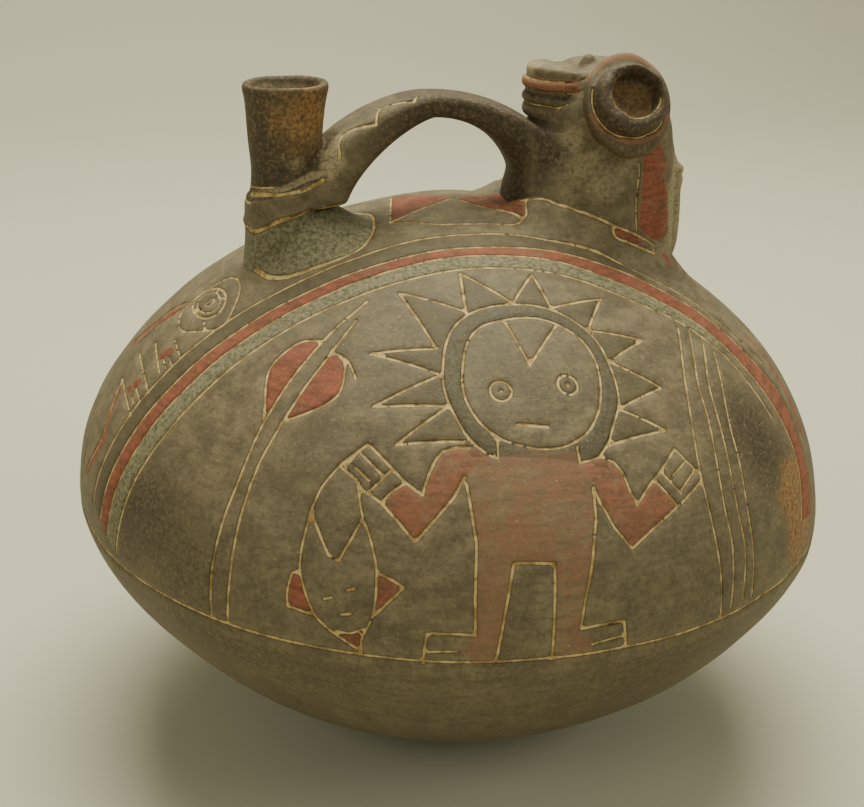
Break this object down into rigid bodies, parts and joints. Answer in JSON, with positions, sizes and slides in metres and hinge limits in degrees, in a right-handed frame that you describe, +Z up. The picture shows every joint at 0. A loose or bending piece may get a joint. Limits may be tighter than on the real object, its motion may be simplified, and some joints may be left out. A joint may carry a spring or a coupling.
{
  "type": "bridge and spout bottle",
  "caption": "Squat round hollow clay bottle with a short flaring spout joined by a flat strap bridge to a modelled animal head, its dome carved with bands and a rayed figure.",
  "frame": {"origin": "centre of the small flat foot, which is also the bottom centre of the body's bounding box", "axes": "+Z up through the middle of the body; the spout stands toward -X and the head toward +X; the carved figure faces -Y"},
  "size_m": [0.2, 0.2, 0.1831],
  "materials": {
    "clay": "burnished, matt with red, grey-green and tan colour in the carved lines"
  },
  "bodies": {
    "root": {"bottle": "clay"}
  },
  "joints": []
}
